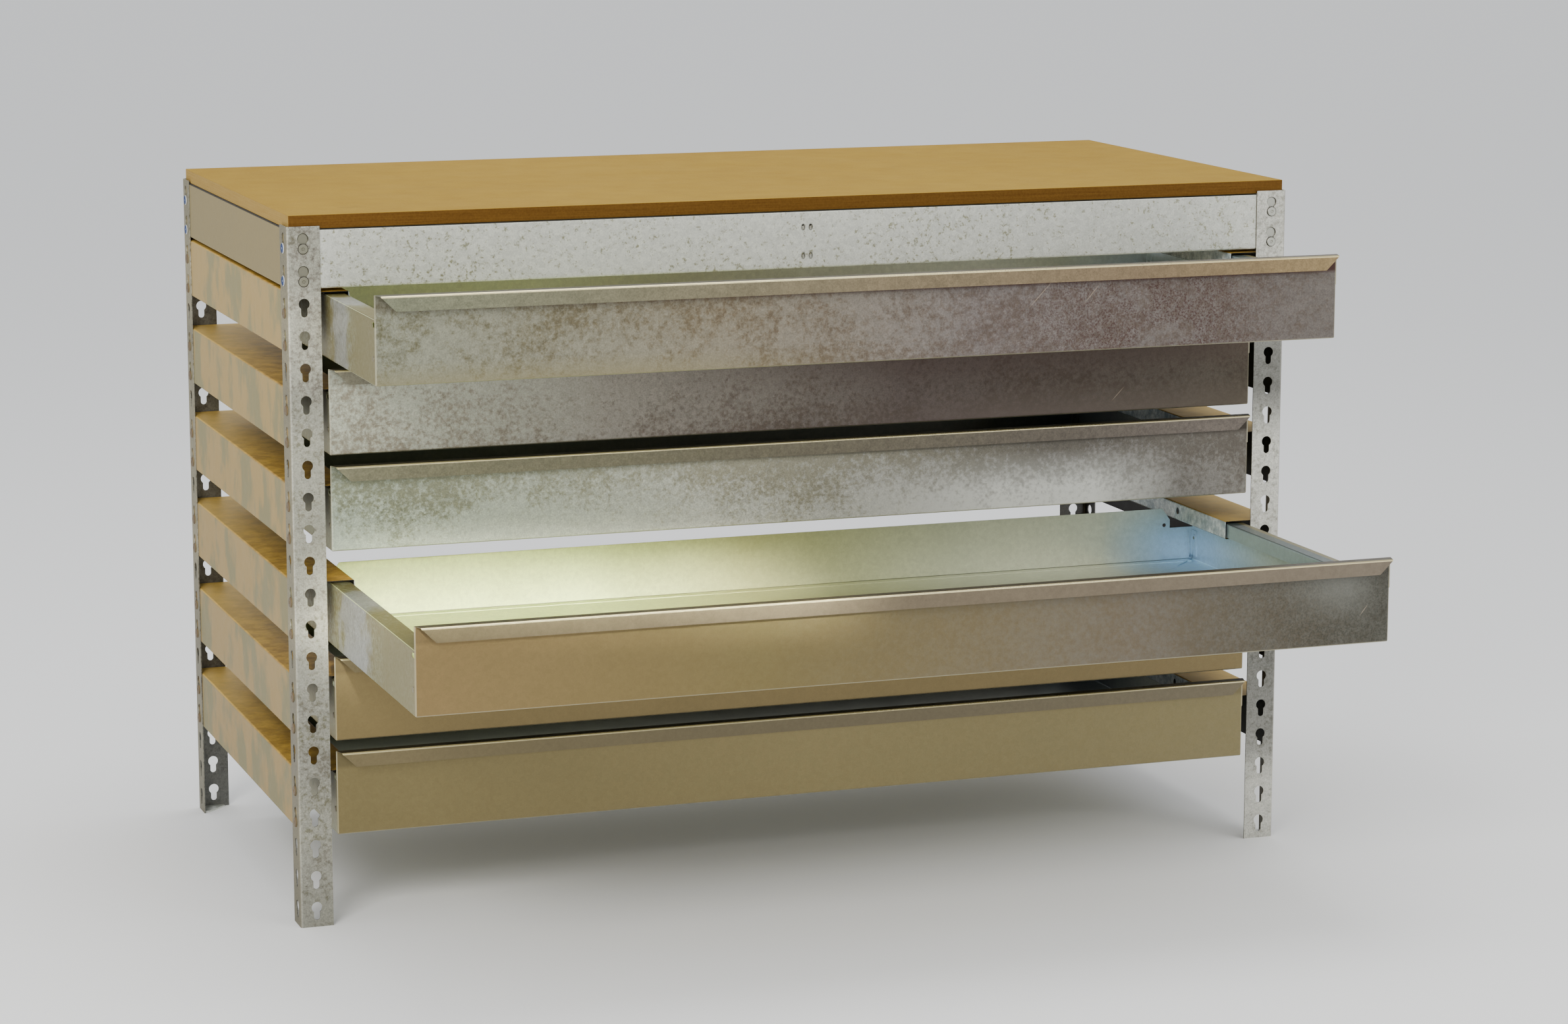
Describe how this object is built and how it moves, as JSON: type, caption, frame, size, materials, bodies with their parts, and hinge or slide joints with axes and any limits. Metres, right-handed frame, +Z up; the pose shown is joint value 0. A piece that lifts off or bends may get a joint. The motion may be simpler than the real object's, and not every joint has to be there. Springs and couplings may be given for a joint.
{
  "type": "workbench with drawers",
  "caption": "Boltless sheet-steel workbench with slotted angle posts, a fibreboard top and a stack of full-width sheet-steel drawers with folded pull lips, sliding on side rails.",
  "frame": {"origin": "centre of the rest pose's bounding box at floor level, open drawers included", "axes": "+Z up, +X to the right as seen from the front, drawers open towards -Y"},
  "size_m": [1.2836, 1.0162, 0.851],
  "materials": {
    "board": "matt fibreboard",
    "frame_steel": "galvanised, fine spangle",
    "rail_steel": "galvanised, soft sheen",
    "drawer_front_steel": "galvanised, fine spangle",
    "drawer_steel": "galvanised, soft sheen",
    "rivet": "bright zinc",
    "foot_plate": "bright zinc"
  },
  "bodies": {
    "frame": {"worktop": "board", "post_front_left": "frame_steel", "post_front_right": "frame_steel", "post_rear_left": "frame_steel", "post_rear_right": "frame_steel", "foot_front_left": "foot_plate", "foot_front_right": "foot_plate", "foot_rear_left": "foot_plate", "foot_rear_right": "foot_plate", "beam_front": "frame_steel", "beam_rear": "frame_steel", "beam_left": "frame_steel", "beam_right": "frame_steel", "crossbar": "frame_steel", "rail_left_1": "rail_steel", "rail_left_2": "rail_steel", "rail_left_3": "rail_steel", "rail_left_4": "rail_steel", "rail_left_5": "rail_steel", "rail_left_6": "rail_steel", "rail_right_1": "rail_steel", "rail_right_2": "rail_steel", "rail_right_3": "rail_steel", "rail_right_4": "rail_steel", "rail_right_5": "rail_steel", "rail_right_6": "rail_steel"},
    "drawer_1": {"drawer_1_tray": "drawer_steel", "drawer_1_front": "drawer_front_steel", "drawer_1_back": "drawer_steel", "drawer_1_rivets": "rivet"},
    "drawer_2": {"drawer_2_tray": "drawer_steel", "drawer_2_front": "drawer_front_steel", "drawer_2_back": "drawer_steel", "drawer_2_rivets": "rivet"},
    "drawer_3": {"drawer_3_tray": "drawer_steel", "drawer_3_front": "drawer_front_steel", "drawer_3_back": "drawer_steel", "drawer_3_rivets": "rivet"},
    "drawer_4": {"drawer_4_tray": "drawer_steel", "drawer_4_front": "drawer_front_steel", "drawer_4_back": "drawer_steel", "drawer_4_rivets": "rivet"},
    "drawer_5": {"drawer_5_tray": "drawer_steel", "drawer_5_front": "drawer_front_steel", "drawer_5_back": "drawer_steel", "drawer_5_rivets": "rivet"},
    "drawer_6": {"drawer_6_tray": "drawer_steel", "drawer_6_front": "drawer_front_steel", "drawer_6_back": "drawer_steel", "drawer_6_rivets": "rivet"}
  },
  "joints": [
    {"name": "drawer_1_slide", "type": "slide", "parent": "frame", "child": "drawer_1", "axis": [0, -1, 0], "range_m": [-0.232, 0.198]},
    {"name": "drawer_2_slide", "type": "slide", "parent": "frame", "child": "drawer_2", "axis": [0, -1, 0], "range_m": [0, 0.43]},
    {"name": "drawer_3_slide", "type": "slide", "parent": "frame", "child": "drawer_3", "axis": [0, -1, 0], "range_m": [0, 0.43]},
    {"name": "drawer_4_slide", "type": "slide", "parent": "frame", "child": "drawer_4", "axis": [0, -1, 0], "range_m": [-0.388, 0.042]},
    {"name": "drawer_5_slide", "type": "slide", "parent": "frame", "child": "drawer_5", "axis": [0, -1, 0], "range_m": [0, 0.43]},
    {"name": "drawer_6_slide", "type": "slide", "parent": "frame", "child": "drawer_6", "axis": [0, -1, 0], "range_m": [0, 0.43]}
  ]
}
